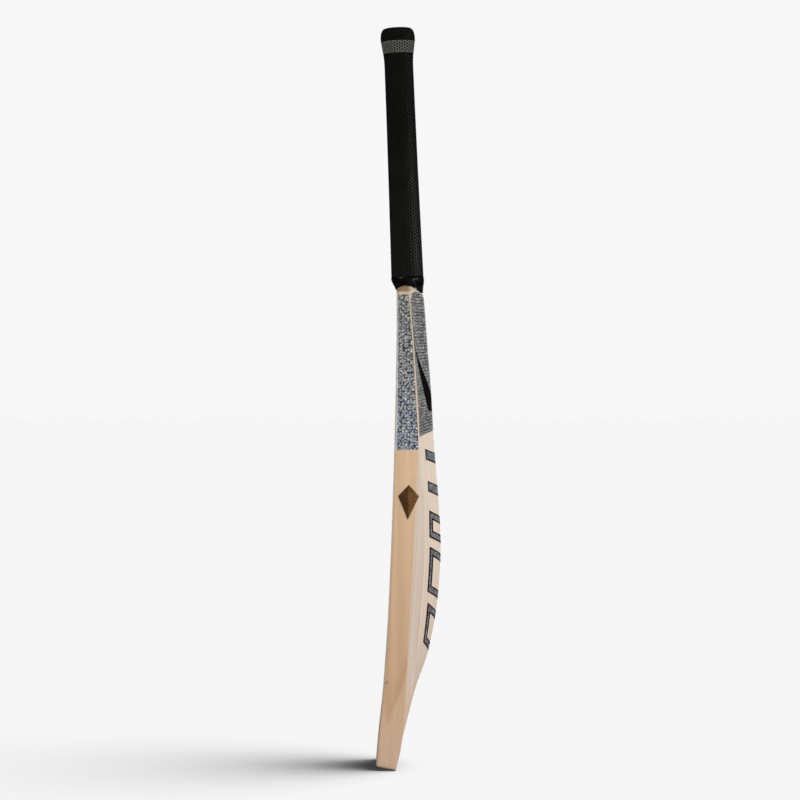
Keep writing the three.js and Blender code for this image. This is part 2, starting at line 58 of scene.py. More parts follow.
BLADE_WIDTH = 108
BLADE_TOP = 559.2
HANDLE_BASE = 553
HANDLE_LENGTH = 308.6
HANDLE_LEAN = radians(-2.33)
HANDLE_SETBACK = 13.4  # behind the face
FACE_CROWN = 1.3
FACE_CORNER_RADIUS = 3.5
TOE_CORNER_RADIUS = 4
TOE_SLOPE = 0.21  # of the toe's cut, and less in the sections up to where it fades
TOE_SLOPE_FADES = 100
SHOULDER_RADIUS = 8
SHOULDER_TURN = radians(76)
SHOULDER_DROP = 6.5
SPINE_RADIUS = 9
FLANK_HOLLOW = 1.22  # exponent above 1 makes the flanks concave
BEVEL_SLANT = 0.72  # how far the bevel runs in from the edge for each millimetre it runs back
BEVEL_LEAST = 0.6
FLANK_INSET = 0.9  # the flank ends at least this far inside the edge
HANDLE_OVAL = 0.95  # width across the face for each millimetre of depth
HALF = BLADE_WIDTH / 2
SHOULDER_BASE = BLADE_TOP - SHOULDER_DROP - SHOULDER_RADIUS * sin(SHOULDER_TURN)

# [height, value] pairs: where the face stands, and thicknesses at the spine, the flat edge and the bevel.
FACE_PLACES = [
    [0, -24.2], [36, -21.2], [82, -16.6], [128, -13.1], [174, -10.1], [220, -7.9], [312, -4.4],
    [404, -1.9], [496, -0.1], [548, 0], [560, 0],
]
SPINE_HEIGHTS = [
    [0, 23.5], [45, 30.5], [90, 38], [130, 48.7], [185, 56], [250, 58], [310, 53.3],
    [375, 46.2], [440, 41], [490, 36], [545, 31.6], [553, 29.4], [560, 28],
]
EDGE_HEIGHTS = [
    [0, 23], [24, 27], [62, 28], [90, 27], [139, 25.6], [197, 25.5], [254, 26.6], [312, 27],
    [370, 28], [392, 27], [427, 24.1], [484, 19.5], [519, 16.8], [553, 14], [560, 13.4],
]
BEVEL_HEIGHTS = [
    [0, 23.3], [50, 29.3], [75, 31.3], [105, 34], [139, 37], [200, 39], [243, 39.9], [297, 38],
    [331, 35.5], [351, 32], [370, 29.8], [404, 27.4], [450, 23.9], [496, 20.5], [542, 17], [560, 15.6],
]
DOME_BOTTOM = 551  # above it the willow lies between these distances from the face
DOME_FRONT = [[554.5, -1], [555, 0], [556.2, 1.5], [557.4, 3.3], [558.6, 5.5], [559.2, 7.1]]
DOME_BACK = [
    [551, 30.5], [553, 25.8], [554.6, 22.7], [556.2, 20.5], [557.4, 18.7], [558.6, 16.5], [559.2, 14.9],
]
SHOULDER_SLOPE = [
    [18.6, 559.2], [21, 558.6], [23.5, 557.9], [28, 556.9], [33, 555.8], [38.5, 554.6],
]  # [half width, height]
SPLICE_BOTTOM = 422
SPLICE_HALF_TOP = 15.2
SPLICE_HALF_BOTTOM = 2.8
SPLICE_OVERRUN = 12  # how far the cutter stands proud of the shoulders
STICKER_HEIGHTS = (369.5, 548)
STICKER_START = radians(12)  # where an edge sticker begins on the rounded corner of the face
STICKER_REAR = 0.4  # from its rear side to the bevel
KITE_BEHIND_FACE = 18
KITE_HALF_WIDTH = 12
KITE_HEIGHTS = (289, 316, 329)  # bottom, widest, top
KITE_TONE_SPLIT = 310  # the height at which the line between the kite's two tones is placed
STRIPE = [(50.5, 484), (50.5, 488), (4, 434), (4, 413), (17.7, 415)]  # (from the middle, height)
STRIPE_GAP = 0.25
PANEL_HALF = [
    (0, 392), (51.8, 384.5), (52.2, 430), (52.5, 480), (52.8, 520), (53, 541), (50, 549), (29, 552.5),
    (0, 550.5),
]
CHEVRONS = {  # (top and bottom of the outer ends, half width, drop to the middle)
    "chevron_upper": (370, 358, 33, 6),
    "chevron_lower": (333, 321, 33, 7),
    "hollow_chevron_upper": (299, 268, 32, 9),
    "hollow_chevron_middle": (257, 205, 31, 11),
    "hollow_chevron_lower": (192, 146, 28, 13),
}
CHEVRON_RIM = 9  # width of the bars round a hollow chevron's opening
GRIP_BOTTOM = 18  # along the handle, like the other heights of the grip, the band and HEM_TOP
BAND_BOTTOM = 279
BAND_MIDDLE = 285
BAND_TOP = 292.5
BAND_GROOVE = 1.3  # depth
BAND_GAP = 0.3  # from the band to the groove's ends
GRIP_OUTSIDE = [
    [18, 18.9], [140, 17.6], [262, 16.9], [274, 17.3], [286, 18.9], [294, 20], [298, 20.1],
]
KNOB_CREST = [
    [20.1, 10.6], [19.8, 7], [18.6, 3.4], [16.8, 1], [14.6, 0], [12, 0.4], [10.4, 2], [10.4, 4.3],
]  # [radius, depth below the top]
KNOB_RADIUS = 20.15
KNOB_PLAIN = (16.5, 19.5)  # the hexagons fade out between these radii
KNOB_BORE = 14
GRIP_BORE = [(15.2, 250), (16.7, 30), (16.7, GRIP_BOTTOM)]  # (radius, along) below the knob
HEM_TOP = 17.7
HEM_ARCH_TOP = 560.1
HEM_ARCH = [[-12, 4.9], [-11, 4.8], [-5.5, 1.2], [0, 0], [5.5, 1.3], [11.5, 5.2], [20, 8.5]]  # [across, drop]
HEM_ARCH_MIDDLE = 11  # behind the face
HEM_BOTTOM_RADIUS = 15.9
HEM_BOTTOM_SHIFT = 1.7
HEM_THICKNESS = 0.9
HEM_FULLNESS = [[0, 19.0], [0.12, 19.35], [0.3, 18.9], [0.7, 16.9], [1, HEM_BOTTOM_RADIUS]]
# [share of the way down, radius]
HEM_CREASES = [  # (turn, slant, width, height)
    (-1.9, 0.5, 0.06, 0.35), (-1.55, 0.7, 0.05, 0.45), (-1.2, 0.8, 0.06, 0.4), (-0.95, 0.6, 0.05, 0.35),
    (-0.3, -0.4, 0.07, 0.3), (0.4, 0.5, 0.06, 0.35), (1.1, -0.6, 0.05, 0.4), (1.7, 0.6, 0.06, 0.4),
    (2.5, -0.5, 0.07, 0.3), (3.0, 0.4, 0.06, 0.3), (-2.6, -0.4, 0.06, 0.3),
]

# ---- finish of the fine meshes

STATION_STEP = 2.6  # between the blade's sections
TOE_EASING = 0.5  # sanded corner round the toe's cut
EDGE_SOFTNESS = 0.35  # sanded corner between the edge and the bevel
HEX_PITCH = 4.0
HEX_COLUMNS = 32
HEX_DEPTH = 0.5
HEX_WALL = 0.24  # half the wall between two pits, as a share of the pitch
GRIP_STEP = 0.5
BAND_COLUMNS = 38
BAND_ROWS = 56
BAND_PITCH = 3.1
BAND_DEPTH = 0.35
BAND_RIM = (0.4, 0.9)  # plain up to here from each end, then honeycomb
DECAL_LIFT = 0.15
DECAL_THICKNESS = 0.2
DECAL_STEP = 2.4
CLEAR_OF_RIM = 0.6  # of a step: no inner points nearer than this to a decal's outlines
OUTLINE_WIDTH = 1.4  # dark line round each mottled decal
OUTLINE_SQUEEZE = 0.5
STICKER_HIGHLIGHT_COLUMNS = 3  # columns of an edge sticker's mesh, on the rounded corner, that are plain lighter silver, a painted highlight
PROBE = 0.2  # step for finding a surface's normal

# In metres, like everything in the materials.
RING_SPACING = 0.0086  # of the willow's growth
RING_BEND = 0.1  # how much the rings slope away from the middle of the edge
RING_TAPER = 0.0036  # how far they shift at the toe, which draws the pointed flame there
RING_TAPER_FADES = 0.22
RING_START = 0.0502
FLAME_TIP = 0.002  # radius of the flame's point
FLAME_LINE = (0.0, 0.25, -0.0272, -0.002)  # two heights, and where the flames point at each
KNOT_PLACE = (-0.0275, 0.1015)  # of a small pin knot on each edge, along X and Z
KNOT_SIZE = (0.0052, 0.0020)
TWINE_PITCH = 0.0011
SILVER_CELL = 0.0031
WEAVE_ROW = 0.0035
WEAVE_DASH = 0.0095
MOTTLED_CELL = 0.0026
SHINE_AND_PAINTED_LIGHT_HEIGHTS = (0.57, 0.8)  # lower down the grip is shinier and painted lighter, painted light that fades out between these heights
LOWER_SHINE = 1.3
UPPER_SHINE = 0.3
PAINTED_LIGHT_TONE = 2
PAINTED_LIGHT_SHARE = 0.38

# ---- helpers: curves and outlines


def smooth_through(points):
    """A smooth function through [at, value] points, level with the end values outside them."""
    slopes = []
    for i in range(len(points)):
        before = points[max(i - 1, 0)]
        after = points[min(i + 1, len(points) - 1)]
        slopes.append((after[1] - before[1]) / (after[0] - before[0]))

    def value(at):
        if at <= points[0][0]:
            return points[0][1]
        if at >= points[-1][0]:
            return points[-1][1]
        i = max(k for k, point in enumerate(points) if point[0] <= at)
        span = points[i + 1][0] - points[i][0]
        t = (at - points[i][0]) / span
        t2, t3 = t * t, t * t * t
        start = (2 * t3 - 3 * t2 + 1) * points[i][1] + (t3 - 2 * t2 + t) * span * slopes[i]
        end = (3 * t2 - 2 * t3) * points[i + 1][1] + (t3 - t2) * span * slopes[i + 1]
        return start + end

    return value


def smooth_step(low, high, at):
    t = min(max((at - low) / (high - low), 0), 1)
    return t * t * (3 - 2 * t)


def mix(a, b, share):
    return a + (b - a) * share


def spread(start, end, count):
    """count + 1 evenly spaced values from start to end."""
    return [mix(start, end, i / count) for i in range(count + 1)]


def offset_loop(loop, distance):
    """A closed 2-D loop, anticlockwise, with every side moved out by distance."""
    count = len(loop)
    normals = []
    for i in range(count):
        a, b = Vector(loop[i]), Vector(loop[(i + 1) % count])
        along = (b - a).normalized()
        normals.append(Vector((along.y, -along.x)))
    moved = []
    for i in range(count):
        before, after = normals[i - 1], normals[i]
        moved.append(Vector(loop[i]) + (before + after) * (distance / (1 + before.dot(after))))
    return moved


def border_loop(loop, distance):
    """Like offset_loop, but broader sideways, where the flanks of the blade fall away from the side view."""
    squeezed = [(y * OUTLINE_SQUEEZE, z) for y, z in loop]
    return [Vector((y / OUTLINE_SQUEEZE, z)) for y, z in offset_loop(squeezed, distance)]


def inside_loop(point, loop):
    inside = False
    for a, b in zip(loop, loop[1:] + loop[:1]):
        if (a[1] > point[1]) != (b[1] > point[1]):
            if point[0] < a[0] + (b[0] - a[0]) * (point[1] - a[1]) / (b[1] - a[1]):
                inside = not inside
    return inside


def mirrored_loop(half):
    """Closes a half outline that starts and ends on the middle line, running anticlockwise."""
    loop = half + [(-y, z) for y, z in reversed(half[1:-1])]
    area = sum(a[0] * b[1] - b[0] * a[1] for a, b in zip(loop, loop[1:] + loop[:1]))
    return loop if area > 0 else loop[::-1]


# ---- helpers: meshes and pieces


def added(name, data):
    """A new object in the scene."""
    obj = bpy.data.objects.new(name, data)
    scene.collection.objects.link(obj)
    return obj


def new_object(name, vertices, faces, materials, face_materials=None, sharp_above=30):
    """A smooth-shaded mesh object from points in millimetres. Edges above the given angle stay sharp."""
    mesh = bpy.data.meshes.new(name)
    mesh.from_pydata([Vector(v) * MM for v in vertices], [], faces)
    mesh.validate()
    for material in materials:
        mesh.materials.append(material)
    if face_materials:
        mesh.polygons.foreach_set("material_index", face_materials)
    mesh.polygons.foreach_set("use_smooth", [True] * len(mesh.polygons))
    mesh.set_sharp_from_angle(angle=radians(sharp_above))
    return added(name, mesh)


def stand_in(obj, slot, *nodes):
    """A finished piece: it rides on the bat and takes the place of the CAD nodes."""
    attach(obj, "root")
    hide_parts(*nodes)
    return obj


def ring_faces(rings, points, closed_ends=False, joined=False):
    """Quads between rings of equally many points, with flat ends or with the last ring on the first."""
    faces = []
    for i in range(rings if joined else rings - 1):
        low, high = i * points, ((i + 1) % rings) * points
        for j in range(points):
            k = (j + 1) % points
            faces.append((low + j, low + k, high + k, high + j))
    if closed_ends:
        faces.append(tuple(reversed(range(points))))
        faces.append(tuple(range((rings - 1) * points, rings * points)))
    return faces


# ---- the blade's surface

spine_at = smooth_through(SPINE_HEIGHTS)
edge_at = smooth_through(EDGE_HEIGHTS)
bevel_at = smooth_through(BEVEL_HEIGHTS)
face_at = smooth_through(FACE_PLACES)
dome_front = smooth_through(DOME_FRONT)
dome_back = smooth_through(DOME_BACK)
FRAME_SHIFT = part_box("blade")[0].x / MM - FACE_PLACES[0][1]


def flank_end(height):
    """How far from the middle the flank of the back meets the bevel."""
    return HALF - BEVEL_SLANT * (bevel_at(height) - edge_at(height)) - BEVEL_LEAST


def thickness_at(y, height):
    """Thickness at a distance y from the middle: hollow flank up to the bevel, then down to the edge."""
    spine, bevel, edge = spine_at(height), bevel_at(height), edge_at(height)
    end = flank_end(height)
    if y > end:
        return bevel + (edge - bevel) * (y - end) / (HALF - end)
    soft = hypot(y, SPINE_RADIUS) - SPINE_RADIUS
    whole = hypot(end, SPINE_RADIUS) - SPINE_RADIUS
    return bevel + (spine - bevel) * (1 - soft / whole) ** FLANK_HOLLOW


def in_dome(x, height):
    return min(max(x, dome_front(height)), dome_back(height)) if height > DOME_BOTTOM else x


def crown(y):
    return FACE_CROWN * (y / HALF) ** 2


def half_section(height, half):
    """A level section from the middle of the face round the +Y edge to the spine: (x behind the face, y)."""
    corner_y = half - FACE_CORNER_RADIUS
    corner_x = crown(corner_y) + FACE_CORNER_RADIUS
    points = [(crown(y), y) for y in spread(0, corner_y, 12)[:-1]]
    for turn in spread(0, pi / 2, 8):
        points.append((corner_x - FACE_CORNER_RADIUS * cos(turn), corner_y + FACE_CORNER_RADIUS * sin(turn)))
    edge = thickness_at(half, height)
    points += [(x, half) for x in spread(corner_x, edge - EDGE_SOFTNESS, 10)[1:]]
    end = min(flank_end(height), half - FLANK_INSET)
    bevel = thickness_at(end, height)
    points += [(mix(edge, bevel, s), mix(half, end, s)) for s in (0.1, 0.35, 0.65, 0.92)]
    points += [(thickness_at(s * end, height), s * end) for s in spread(0.985, 0, 36)]
    return points


def blade_ring(height, half, easing):
    side = half_section(height, half)
    loop = side + [(x, -y) for x, y in reversed(side[1:-1])]
    slope = TOE_SLOPE * (1 - smooth_step(0, TOE_SLOPE_FADES, height))
    spine = spine_at(height)
    middle = spine / 2
    ring = []
    for x, y in loop:
        x = in_dome(x, height)
        x = middle + (x - middle) * (1 - easing / middle)
        y = y * (1 - easing / half)
        ring.append((FRAME_SHIFT + face_at(height) + x, y, height + slope * (spine - x)))
    return ring[::-1]


def blade_stations():
    """(height, half width, easing) from the toe's cut to the top of the shoulders."""
    stations = [(0, HALF - TOE_CORNER_RADIUS, TOE_EASING), (0.15, HALF - TOE_CORNER_RADIUS, 0.2)]
    for turn in spread(0, pi / 2, 12):
        height = 0.4 + (TOE_CORNER_RADIUS - 0.4) * (1 - cos(turn))
        stations.append((height, HALF - TOE_CORNER_RADIUS * (1 - sin(turn)), 0))
    count = round((SHOULDER_BASE - TOE_CORNER_RADIUS) / STATION_STEP)
    stations += [(height, HALF, 0) for height in spread(TOE_CORNER_RADIUS, SHOULDER_BASE, count)[1:-1]]
    for turn in spread(0, SHOULDER_TURN, 10):
        half = HALF - SHOULDER_RADIUS * (1 - cos(turn))
        stations.append((SHOULDER_BASE + SHOULDER_RADIUS * sin(turn), half, 0))
    height, half, _ = stations[-1]
    slope = smooth_through(SHOULDER_SLOPE + [[half, height]])
    stations += [(slope(y), y, 0) for y in spread(half, SHOULDER_SLOPE[0][0], 14)[1:]]
    return stations


def half_at(height):
    """Half the blade's width, where the shoulders start to round off."""
    above = max(height - SHOULDER_BASE, 0)
    return HALF - SHOULDER_RADIUS + math.sqrt(SHOULDER_RADIUS ** 2 - above ** 2)


def splice_cutter():
    """The V between the willow's two arms, which the cane fills."""
    rise = (SPLICE_HALF_TOP - SPLICE_HALF_BOTTOM) / (BLADE_TOP - SPLICE_BOTTOM)
    half_top = SPLICE_HALF_TOP + rise * SPLICE_OVERRUN
    top = BLADE_TOP + SPLICE_OVERRUN
    outline = [
        (-half_top, top), (-SPLICE_HALF_BOTTOM, SPLICE_BOTTOM), (SPLICE_HALF_BOTTOM, SPLICE_BOTTOM),
        (half_top, top),
    ]
    points = [(x, y, z) for x in (-100, 100) for y, z in outline]
    return new_object("splice_cutter", points, ring_faces(2, len(outline), closed_ends=True), [])


def willow_blade(willow):
    rings = [blade_ring(*station) for station in blade_stations()]
    count = len(rings[0])
    points = [point for ring in rings for point in ring]
    blade = new_object("willow_blade", points, ring_faces(len(rings), count, closed_ends=True), [willow])
    cutter = splice_cutter()
    cut = blade.modifiers.new("splice", "BOOLEAN")
    cut.operation = "DIFFERENCE"
    cut.solver = "EXACT"
    cut.object = cutter
    depsgraph = bpy.context.evaluated_depsgraph_get()
    blade.data = bpy.data.meshes.new_from_object(blade.evaluated_get(depsgraph))
    blade.modifiers.clear()
    bpy.data.objects.remove(cutter)
    blade.data.set_sharp_from_angle(angle=radians(30))
    return stand_in(blade, "willow", "blade")


# ---- decals that follow the blade


def on_back(y, z):
    """A point on the back of the blade and its normal."""
    def point(y, z):
        return Vector((FRAME_SHIFT + face_at(z) + in_dome(thickness_at(abs(y), z), z), y, z))

    across = point(y + PROBE, z) - point(y - PROBE, z)
    up = point(y, z + PROBE) - point(y, z - PROBE)
    return point(y, z), across.cross(up).normalized()


def on_edge(side):
    """Points on one edge and the bevel behind it, from (distance behind the face, height)."""
    def point(x, z):
        edge = edge_at(z)
        drop = max(x - edge, 0) * (HALF - flank_end(z)) / (bevel_at(z) - edge)
        return Vector((FRAME_SHIFT + face_at(z) + x, side * (HALF - drop), z))

    def point_and_normal(x, z):
        across = point(x + PROBE, z) - point(x - PROBE, z)
        up = point(x, z + PROBE) - point(x, z - PROBE)
        return point(x, z), side * up.cross(across).normalized()

    return point_and_normal


def decal_plan(outlines, borders):
    """A decal in the flat: all its lines in short steps, and a staggered grid of points between them."""
    points, edges = [], []
    for loop in outlines + borders:
        first = len(points)
        for a, b in zip(loop, loop[1:] + loop[:1]):
            pieces = max(1, round((b - a).length / DECAL_STEP))
            points += [a.lerp(b, i / pieces) for i in range(pieces)]
        edges += [(i, i + 1) for i in range(first, len(points) - 1)] + [(len(points) - 1, first)]
    low = [min(p[k] for p in outlines[0]) for k in (0, 1)]
    high = [max(p[k] for p in outlines[0]) for k in (0, 1)]
    rims = list(points)
    for row, v in enumerate(spread(low[1], high[1], round((high[1] - low[1]) / DECAL_STEP))):
        for u in spread(low[0], high[0], round((high[0] - low[0]) / DECAL_STEP)):
            point = Vector((u + (row % 2) * DECAL_STEP / 2, v))
            if min((point - rim).length for rim in rims) > CLEAR_OF_RIM * DECAL_STEP:
                points.append(point)
    return points, edges


def decal_material(spot, outlines, borders):
    """0 in a decal's fill, 1 in its border, and None outside it or in a window."""
    if not inside_loop(spot, outlines[0]) or any(inside_loop(spot, window) for window in outlines[1:]):
        return None
    if not borders:
        return 0
    in_fill = inside_loop(spot, borders[0]) and not any(inside_loop(spot, line) for line in borders[1:])
    return 0 if in_fill else 1


def decal(name, loops, surface, materials, outline_width=0):
    """A thin closed sheet on the blade: the first loop is its outside, the others are windows.

    With an outline width, a border of that width inside every loop takes the second material."""
    outlines = [[Vector(p) for p in loop] for loop in loops]
    borders = []
    if outline_width:
        borders = [border_loop(loops[0], -outline_width)]
        borders += [border_loop(window, outline_width) for window in loops[1:]]
    points, edges = decal_plan(outlines, borders)
    flat, _, triangles, *_ = delaunay_2d_cdt(points, edges, [], 0, 1e-4)
    middles = [sum((flat[i] for i in triangle), Vector((0, 0))) / 3 for triangle in triangles]
    kinds = [decal_material(middle, outlines, borders) for middle in middles]
    top = [(triangle, kind) for triangle, kind in zip(triangles, kinds) if kind is not None]
    used = sorted({i for triangle, _ in top for i in triangle})
    place = {old: new for new, old in enumerate(used)}
    count = len(used)
    vertices = []
    for lift in (DECAL_LIFT + DECAL_THICKNESS, DECAL_LIFT):
        for i in used:
            spot, normal = surface(flat[i].x, flat[i].y)
            vertices.append(spot + normal * lift)
    faces, face_materials, sides = [], [], {}
    for triangle, kind in top:
        a, b, c = (place[i] for i in triangle)
        across = (vertices[b] - vertices[a]).cross(vertices[c] - vertices[a])
        if across.dot(vertices[a] - vertices[a + count]) < 0:
            b, c = c, b
        faces += [(a, b, c), (a + count, c + count, b + count)]
        face_materials += [kind, kind]
        for side in ((a, b), (b, c), (c, a)):
            sides[side] = kind
    for (i, j), kind in sides.items():
        if (j, i) not in sides:
            faces.append((j, i, i + count, j + count))
            face_materials.append(kind)
    return new_object(name, vertices, faces, materials, face_materials)


def stripe_outline(side):
    return STRIPE if side > 0 else [(-y, z) for y, z in reversed(STRIPE)]


def back_panel(weave):
    """The panel across the upper back, with a window for each stripe."""
    windows = [offset_loop(stripe_outline(side), STRIPE_GAP) for side in (1, -1)]
    piece = decal("woven_panel", [mirrored_loop(PANEL_HALF)] + windows, on_back, [weave])
    return stand_in(piece, "woven_vinyl", "back_panel")


def back_stripe(word, side, black):
    piece = decal(f"dark_stripe_{word}", [stripe_outline(side)], on_back, [black])
    return stand_in(piece, "black_vinyl", f"back_stripe_{word}")


def chevron_outline(top, bottom, half_width, drop):
    return mirrored_loop([(0, top - drop), (half_width, top), (half_width, bottom), (0, bottom - drop)])


def chevron_opening(top, bottom, half_width, drop):
    """The smaller chevron inside a hollow one."""
    sink = drop * CHEVRON_RIM / half_width
    return chevron_outline(
        top - CHEVRON_RIM - sink, bottom + CHEVRON_RIM - sink, half_width - CHEVRON_RIM, drop - sink,
    )


def chevron(name, mottled, black):
    sizes = CHEVRONS[name]
    loops = [chevron_outline(*sizes)]
    if name.startswith("hollow"):
        loops.append(chevron_opening(*sizes))
    piece = decal(name, loops, on_back, [mottled, black], OUTLINE_WIDTH)
    return stand_in(piece, "mottled_vinyl", f"back_{name}")


def edge_mark(word, side, brown, brown_painted_lighter):
    """A brown kite whose rear half is the same brown painted lighter: a painted highlight."""
    middle = KITE_BEHIND_FACE
    bottom, widest, top = KITE_HEIGHTS
    loop = [
        (middle, bottom), (middle + KITE_HALF_WIDTH, widest),
        (middle, top), (middle - KITE_HALF_WIDTH, widest),
    ]
    piece = decal(f"edge_kite_{word}", [loop], on_edge(side), [brown, brown_painted_lighter])
    tone_split = FRAME_SHIFT + face_at(KITE_TONE_SPLIT) + middle
    for face in piece.data.polygons:
        face.material_index = 1 if face.center.x / MM > tone_split else 0
    return stand_in(piece, "brown_vinyl", f"edge_mark_{word}")


def edge_sticker(word, side, silver, border):
    """From the shoulder down: it starts on the rounded corner of the face and ends short of the bevel."""
    rows, columns = 76, 24
    points = []
    for z in spread(*STICKER_HEIGHTS, rows):
        arc = FACE_CORNER_RADIUS * (pi / 2 - STICKER_START)
        corner_y = half_at(z) - FACE_CORNER_RADIUS
        corner_x = crown(corner_y) + FACE_CORNER_RADIUS
        runs = spread(0, arc + edge_at(z) - STICKER_REAR - corner_x, columns)
        outside = [(DECAL_LIFT + DECAL_THICKNESS, run) for run in runs]
        inside = [(DECAL_LIFT, run) for run in reversed(runs)]
        for lift, run in outside + inside:
            turn = min(STICKER_START + run / FACE_CORNER_RADIUS, pi / 2)
            x = corner_x - (FACE_CORNER_RADIUS + lift) * cos(turn) + max(run - arc, 0)
            y = corner_y + (FACE_CORNER_RADIUS + lift) * sin(turn)
            points.append((FRAME_SHIFT + face_at(z) + x, side * y, z))
    ring = 2 * (columns + 1)
    faces = ring_faces(rows + 1, ring, closed_ends=True)
    # Material 1, on the rounded corner, is a plain lighter silver: a painted highlight along the corner.
    kinds = [1 if len(face) == 4 and face[0] % ring < STICKER_HIGHLIGHT_COLUMNS else 0 for face in faces]
    if side > 0:
        faces = [tuple(reversed(face)) for face in faces]
    piece = new_object(f"silver_sticker_{word}", points, faces, [silver, border], kinds)
    return stand_in(piece, "silver_vinyl", f"edge_sticker_{word}")


# ---- grip

HANDLE_FRAME = Matrix.Translation((FRAME_SHIFT + HANDLE_SETBACK, 0, HANDLE_BASE)) @ Matrix.Rotation(
    HANDLE_LEAN, 4, "Y"
)
grip_outside = smooth_through(GRIP_OUTSIDE)


def on_handle(radius, turn, along, shift=0):
    """A point in the bat's frame from a place round and along the handle. The turn is 0 at the back."""
    return HANDLE_FRAME @ Vector((shift + radius * cos(turn), radius * HANDLE_OVAL * sin(turn), along))


def hex_relief(turn, along, pitch, columns):
    """0 at the bottom of a pit and 1 on the walls of a honeycomb that runs round the handle."""
    column = turn / (2 * pi) * columns
    nearest = None
    for i in (math.floor(column), math.floor(column) + 1):
        offset = 0.5 * (i % 2)
        row = round(along / pitch - offset) + offset
        across = (column - i) * math.sqrt(3) / 2
        up = along / pitch - row
        for shift in (-1, 0, 1):
            distance = hex_distance(across, up + shift)
            nearest = distance if nearest is None else min(nearest, distance)
    return smooth_step(0.5 - HEX_WALL, 0.5 - HEX_WALL / 3, nearest)


def hex_distance(across, up):
    """Distance from the middle of a hexagon whose flat sides are half a unit away."""
    return max(abs(up), abs(across) * math.sqrt(3) / 2 + abs(up) / 2)


def turns(count):
    return [2 * pi * i / count for i in range(count)]


def moulded_ring(name, rows, pitch, columns, sides, materials, sharp_above=30):
    """A ring of rubber from (radius, along, depth of the pits, least height of the relief) rows."""
    points, kinds = [], []
    for radius, along, depth, least in rows:
        for turn in turns(sides):
            wall = max(hex_relief(turn, along, pitch, columns), least) if depth else least
            points.append(on_handle(radius - depth * (1 - wall), turn, along))
            kinds.append(0 if wall > 0.5 else 1)
    faces = ring_faces(len(rows), sides, joined=True)
    return new_object(name, points, faces, materials, [kinds[face[0]] for face in faces], sharp_above)


def rubber_grip(walls, pits):
    """The sleeve with its raised hexagons, the groove for the band, the knob and the bore."""
    rows = []
    top = BAND_BOTTOM - BAND_GAP
    for along in spread(GRIP_BOTTOM, top, round((top - GRIP_BOTTOM) / GRIP_STEP)):
        fade = smooth_step(0, 2, along - GRIP_BOTTOM) * smooth_step(0, 3, top - along)
        rows.append((grip_outside(along), along, HEX_DEPTH * fade, 0))
    groove_top = BAND_TOP + BAND_GAP
    rows += [(grip_outside(along) - BAND_GROOVE, along, 0, 0) for along in (top, BAND_MIDDLE, groove_top)]
    rows.append((grip_outside(BAND_TOP), groove_top, 0, 0))
    crest = smooth_crest()
    cap_bottom, cap_top = BAND_TOP + 1, crest[0][1]
    cap_side = spread(cap_bottom, cap_top, round((cap_top - cap_bottom) / GRIP_STEP))[:-1]
    for radius, along in [(KNOB_RADIUS, along) for along in cap_side] + crest:
        fade = smooth_step(0, 2, along - cap_bottom) * smooth_step(*KNOB_PLAIN, radius)
        rows.append((radius, along, HEX_DEPTH * fade, 0))
    rows += [(radius, along, 0, 0) for radius, along in [(KNOB_BORE, crest[-1][1])] + GRIP_BORE]
    piece = moulded_ring("rubber_grip", rows, HEX_PITCH, HEX_COLUMNS, HEX_COLUMNS * 7, [walls, pits])
    return stand_in(piece, "grip_rubber", "grip")


def smooth_crest():
    """The knob's rounded top as (radius, along), by cutting corners off the coarse crest twice."""
    points = [(radius, HANDLE_LENGTH - below) for radius, below in KNOB_CREST]
    for _ in range(2):
        cut = [points[0]]
        for a, b in zip(points, points[1:]):
            cut.append((mix(a[0], b[0], 0.25), mix(a[1], b[1], 0.25)))
            cut.append((mix(a[0], b[0], 0.75), mix(a[1], b[1], 0.75)))
        points = cut + [points[-1]]
    return points


def honeycomb_band(walls, pits):
    """A ring let into the grip, with a raised honeycomb in a lighter rubber."""
    rows = []
    for along in spread(BAND_BOTTOM, BAND_TOP, BAND_ROWS):
        rim = 1 - smooth_step(*BAND_RIM, min(along - BAND_BOTTOM, BAND_TOP - along))
        rows.append((grip_outside(along), along, BAND_DEPTH, rim))
    rows += [(grip_outside(along) - 1, along, 0, 1) for along in (BAND_TOP, BAND_BOTTOM)]
    sides = BAND_COLUMNS * 8
    piece = moulded_ring("honeycomb_band", rows, BAND_PITCH, BAND_COLUMNS, sides, [walls, pits], 60)
    return stand_in(piece, "band_rubber", "grip_band")


hem_arch = smooth_through(HEM_ARCH)


def hem_bottom(turn):
    """Where the hem ends along the handle: it arches over the shoulders."""
    x = HEM_BOTTOM_SHIFT + HEM_BOTTOM_RADIUS * cos(turn)
    height = HEM_ARCH_TOP - hem_arch(HANDLE_SETBACK + x - HEM_ARCH_MIDDLE)
    return height - HANDLE_BASE + x * sin(HANDLE_LEAN)


def crease(turn, share):
    """Height of the hem's soft folds: slanting ridges spaced unevenly round it."""
    height = 0
    for place, slant, wide, tall in HEM_CREASES:
        across = (turn - place - slant * share + pi) % (2 * pi) - pi
        height += tall * math.exp(-((across / wide) ** 2)) * sin(pi * min(max(share, 0), 1)) ** 0.5
    return height


def taped_hem(tape):
    """Stretched tape from the grip's end down over the shoulders, fuller at its top and creased."""
    sides = 240
    rows = 44
    fullness = smooth_through(HEM_FULLNESS)
    points = []
    for inset in (0, HEM_THICKNESS):
        shares = spread(0, 1, rows)
        for share in reversed(shares) if inset == 0 else shares:
            for turn in turns(sides):
                along = mix(HEM_TOP, hem_bottom(turn), share)
                radius = fullness(share) - inset + (0 if inset else crease(turn, share))
                points.append(on_handle(radius, turn, along, HEM_BOTTOM_SHIFT * share))
    faces = ring_faces(2 * (rows + 1), sides, joined=True)
    piece = new_object("taped_hem", points, faces, [tape], sharp_above=60)
    return stand_in(piece, "hem_tape", "grip_hem")


# ---- materials


